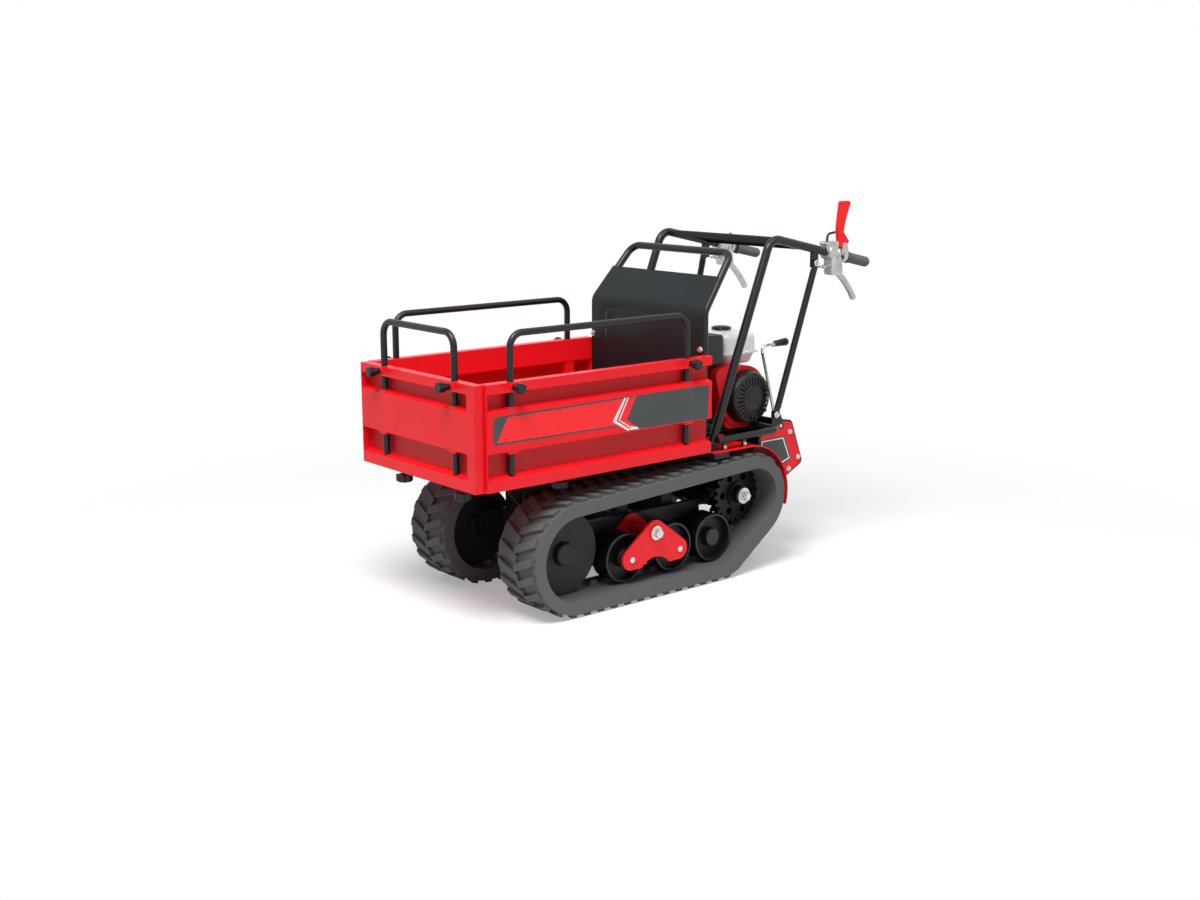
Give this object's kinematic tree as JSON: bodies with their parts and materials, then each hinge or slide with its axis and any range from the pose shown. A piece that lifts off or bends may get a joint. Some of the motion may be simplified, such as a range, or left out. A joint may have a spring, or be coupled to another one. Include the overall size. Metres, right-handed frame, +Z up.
{
  "type": "tracked power carrier",
  "caption": "Walk-behind carrier on rubber tracks with a forward tipping load bed, pull-out sides with lift-out rails, a rear engine and handlebars.",
  "frame": {"origin": "ground point under the middle of the machine's length and width", "axes": "+X forward towards the load bed's front panel, +Y to the machine's left, +Z up"},
  "size_m": [1.7259, 0.701, 1.1898],
  "materials": {
    "red_paint": "gloss red powder coat",
    "dark_paint": "satin dark grey powder coat",
    "track_rubber": "matte moulded rubber",
    "wheel_paint": "black enamel",
    "grip_rubber": "matte ribbed rubber",
    "bright_steel": "zinc plated",
    "cast_aluminium": "bare casting",
    "red_plastic": "moulded",
    "black_plastic": "moulded",
    "pale_paint": "gloss pale grey",
    "muffler_steel": "heat-stained"
  },
  "bodies": {
    "chassis": {"main_frame": "dark_paint", "track_left": "track_rubber", "track_right": "track_rubber", "gearbox_housing": "dark_paint", "belt_guard": "black_plastic", "engine_block": "cast_aluminium", "fan_cover": "red_paint", "recoil_cover": "black_plastic", "fuel_tank": "pale_paint", "air_cleaner": "black_plastic", "muffler": "muffler_steel", "fenders": "red_paint", "guard_bars": "dark_paint", "side_plates": "red_paint", "handlebar": "dark_paint", "console_panel": "dark_paint", "struts": "dark_paint", "grips": "grip_rubber", "lever_clamps": "cast_aluminium", "frame_bolts": "bright_steel"},
    "bed": {"bed_floor": "red_paint", "headboard": "dark_paint", "headboard_tube": "dark_paint", "bed_bolts": "bright_steel"},
    "left_panel": {"left_panel": "red_paint"},
    "right_panel": {"right_panel": "red_paint"},
    "front_panel": {"front_panel": "red_paint"},
    "left_rail": {"left_rail": "dark_paint"},
    "right_rail": {"right_rail": "dark_paint"},
    "front_rail": {"front_rail": "dark_paint"},
    "left_knob_front": {"left_knob_front": "black_plastic"},
    "left_knob_rear": {"left_knob_rear": "black_plastic"},
    "right_knob_front": {"right_knob_front": "black_plastic"},
    "right_knob_rear": {"right_knob_rear": "black_plastic"},
    "front_knob_left": {"front_knob_left": "black_plastic"},
    "front_knob_right": {"front_knob_right": "black_plastic"},
    "lock_knob_left": {"lock_knob_left": "black_plastic"},
    "lock_knob_right": {"lock_knob_right": "black_plastic"},
    "lock_knob_front_left": {"lock_knob_front_left": "black_plastic"},
    "lock_knob_front_right": {"lock_knob_front_right": "black_plastic"},
    "sprocket_left": {"sprocket_left": "wheel_paint"},
    "sprocket_right": {"sprocket_right": "wheel_paint"},
    "idler_left": {"idler_left": "wheel_paint"},
    "idler_right": {"idler_right": "wheel_paint"},
    "bogie_left": {"bogie_left": "red_paint"},
    "bogie_right": {"bogie_right": "red_paint"},
    "roller_left_front": {"roller_left_front": "wheel_paint"},
    "roller_left_middle": {"roller_left_middle": "wheel_paint"},
    "roller_left_rear": {"roller_left_rear": "wheel_paint"},
    "roller_right_front": {"roller_right_front": "wheel_paint"},
    "roller_right_middle": {"roller_right_middle": "wheel_paint"},
    "roller_right_rear": {"roller_right_rear": "wheel_paint"},
    "steering_lever_left": {"steering_lever_left": "cast_aluminium"},
    "steering_lever_right": {"steering_lever_right": "cast_aluminium"},
    "clutch_lever": {"clutch_lever": "red_plastic"},
    "throttle_lever": {"throttle_lever": "red_plastic"},
    "gear_lever": {"gear_lever": "bright_steel"},
    "fuel_cap": {"fuel_cap": "black_plastic"}
  },
  "joints": [
    {"name": "bed_tilt", "type": "hinge", "parent": "chassis", "child": "bed", "pos_m": [0.567, 0, 0.395], "axis": [0, 1, 0], "range_deg": [0, 50]},
    {"name": "left_panel_slide", "type": "slide", "parent": "bed", "child": "left_panel", "axis": [0, 1, 0], "range_m": [0, 0.12]},
    {"name": "right_panel_slide", "type": "slide", "parent": "bed", "child": "right_panel", "axis": [0, -1, 0], "range_m": [0, 0.12]},
    {"name": "front_panel_slide", "type": "slide", "parent": "bed", "child": "front_panel", "axis": [1, 0, 0], "range_m": [0, 0.12]},
    {"name": "left_rail_lift", "type": "slide", "parent": "left_panel", "child": "left_rail", "axis": [0, 0, 1], "range_m": [0, 0.18]},
    {"name": "right_rail_lift", "type": "slide", "parent": "right_panel", "child": "right_rail", "axis": [0, 0, 1], "range_m": [0, 0.18]},
    {"name": "front_rail_lift", "type": "slide", "parent": "front_panel", "child": "front_rail", "axis": [0, 0, 1], "range_m": [0, 0.18]},
    {"name": "left_knob_front_turn", "type": "hinge", "parent": "left_panel", "child": "left_knob_front", "pos_m": [0.693, 0.2925, 0.719], "axis": [0, 1, 0], "range_deg": [0, 360]},
    {"name": "right_knob_front_turn", "type": "hinge", "parent": "right_panel", "child": "right_knob_front", "pos_m": [0.693, -0.2925, 0.719], "axis": [0, -1, 0], "range_deg": [0, 360]},
    {"name": "left_knob_rear_turn", "type": "hinge", "parent": "left_panel", "child": "left_knob_rear", "pos_m": [0.015, 0.2925, 0.719], "axis": [0, 1, 0], "range_deg": [0, 360]},
    {"name": "right_knob_rear_turn", "type": "hinge", "parent": "right_panel", "child": "right_knob_rear", "pos_m": [0.015, -0.2925, 0.719], "axis": [0, -1, 0], "range_deg": [0, 360]},
    {"name": "front_knob_left_turn", "type": "hinge", "parent": "front_panel", "child": "front_knob_left", "pos_m": [0.805, 0.182, 0.719], "axis": [1, 0, 0], "range_deg": [0, 360]},
    {"name": "front_knob_right_turn", "type": "hinge", "parent": "front_panel", "child": "front_knob_right", "pos_m": [0.805, -0.182, 0.719], "axis": [1, 0, 0], "range_deg": [0, 360]},
    {"name": "lock_knob_left_turn", "type": "hinge", "parent": "bed", "child": "lock_knob_left", "pos_m": [0.457, 0.2185, 0.416], "axis": [0, 0, -1], "range_deg": [0, 360]},
    {"name": "lock_knob_right_turn", "type": "hinge", "parent": "bed", "child": "lock_knob_right", "pos_m": [0.457, -0.2185, 0.416], "axis": [0, 0, -1], "range_deg": [0, 360]},
    {"name": "lock_knob_front_left_turn", "type": "hinge", "parent": "bed", "child": "lock_knob_front_left", "pos_m": [0.762, 0.155, 0.416], "axis": [0, 0, -1], "range_deg": [0, 360]},
    {"name": "lock_knob_front_right_turn", "type": "hinge", "parent": "bed", "child": "lock_knob_front_right", "pos_m": [0.762, -0.155, 0.416], "axis": [0, 0, -1], "range_deg": [0, 360]},
    {"name": "sprocket_left_spin", "type": "hinge", "parent": "chassis", "child": "sprocket_left", "pos_m": [-0.271, 0.2325, 0.25], "axis": [0, 1, 0], "continuous": true},
    {"name": "idler_left_spin", "type": "hinge", "parent": "chassis", "child": "idler_left", "pos_m": [0.463, 0.2325, 0.18], "axis": [0, 1, 0], "continuous": true},
    {"name": "bogie_left_rock", "type": "hinge", "parent": "chassis", "child": "bogie_left", "pos_m": [0.138, 0.2325, 0.2], "axis": [0, 1, 0], "range_deg": [-2, 2]},
    {"name": "roller_left_front_spin", "type": "hinge", "parent": "bogie_left", "child": "roller_left_front", "pos_m": [0.238, 0.2325, 0.131], "axis": [0, 1, 0], "continuous": true},
    {"name": "roller_left_middle_spin", "type": "hinge", "parent": "bogie_left", "child": "roller_left_middle", "pos_m": [0.038, 0.2325, 0.131], "axis": [0, 1, 0], "continuous": true},
    {"name": "roller_left_rear_spin", "type": "hinge", "parent": "chassis", "child": "roller_left_rear", "pos_m": [-0.138, 0.2325, 0.131], "axis": [0, 1, 0], "continuous": true},
    {"name": "steering_lever_left_squeeze", "type": "hinge", "parent": "chassis", "child": "steering_lever_left", "pos_m": [-0.7, 0.258, 0.9615], "axis": [0, 1, 0], "range_deg": [0, 20], "stiffness_Nm_per_rad": 0.8, "springref_deg": -5.73},
    {"name": "sprocket_right_spin", "type": "hinge", "parent": "chassis", "child": "sprocket_right", "pos_m": [-0.271, -0.2325, 0.25], "axis": [0, 1, 0], "continuous": true},
    {"name": "idler_right_spin", "type": "hinge", "parent": "chassis", "child": "idler_right", "pos_m": [0.463, -0.2325, 0.18], "axis": [0, 1, 0], "continuous": true},
    {"name": "bogie_right_rock", "type": "hinge", "parent": "chassis", "child": "bogie_right", "pos_m": [0.138, -0.2325, 0.2], "axis": [0, 1, 0], "range_deg": [-2, 2]},
    {"name": "roller_right_front_spin", "type": "hinge", "parent": "bogie_right", "child": "roller_right_front", "pos_m": [0.238, -0.2325, 0.131], "axis": [0, 1, 0], "continuous": true},
    {"name": "roller_right_middle_spin", "type": "hinge", "parent": "bogie_right", "child": "roller_right_middle", "pos_m": [0.038, -0.2325, 0.131], "axis": [0, 1, 0], "continuous": true},
    {"name": "roller_right_rear_spin", "type": "hinge", "parent": "chassis", "child": "roller_right_rear", "pos_m": [-0.138, -0.2325, 0.131], "axis": [0, 1, 0], "continuous": true},
    {"name": "steering_lever_right_squeeze", "type": "hinge", "parent": "chassis", "child": "steering_lever_right", "pos_m": [-0.7, -0.258, 0.9615], "axis": [0, 1, 0], "range_deg": [0, 20], "stiffness_Nm_per_rad": 0.8, "springref_deg": -5.73},
    {"name": "clutch_lever_press", "type": "hinge", "parent": "chassis", "child": "clutch_lever", "pos_m": [-0.731, 0.258, 1.0408], "axis": [0, -1, 0], "range_deg": [0, 55], "stiffness_Nm_per_rad": 1.5, "springref_deg": -14.32},
    {"name": "throttle_lever_set", "type": "hinge", "parent": "chassis", "child": "throttle_lever", "pos_m": [-0.717, -0.258, 1.04182], "axis": [0, -1, 0], "range_deg": [-25, 45]},
    {"name": "gear_lever_shift", "type": "hinge", "parent": "chassis", "child": "gear_lever", "pos_m": [-0.477, 0.215, 0.452], "axis": [0, 1, 0], "range_deg": [-8, 8]},
    {"name": "fuel_cap_turn", "type": "hinge", "parent": "chassis", "child": "fuel_cap", "pos_m": [-0.379, 0.044, 0.786], "axis": [0, 0, 1], "range_deg": [0, 90]}
  ],
  "couplings": [
    {"joint": "roller_left_front_spin", "follows": "sprocket_left_spin", "ratio": 1.2073},
    {"joint": "roller_left_middle_spin", "follows": "sprocket_left_spin", "ratio": 1.2073},
    {"joint": "roller_left_rear_spin", "follows": "sprocket_left_spin", "ratio": 1.2073},
    {"joint": "idler_left_spin", "follows": "sprocket_left_spin", "ratio": 0.75572},
    {"joint": "roller_right_front_spin", "follows": "sprocket_right_spin", "ratio": 1.2073},
    {"joint": "roller_right_middle_spin", "follows": "sprocket_right_spin", "ratio": 1.2073},
    {"joint": "roller_right_rear_spin", "follows": "sprocket_right_spin", "ratio": 1.2073},
    {"joint": "idler_right_spin", "follows": "sprocket_right_spin", "ratio": 0.75572}
  ]
}
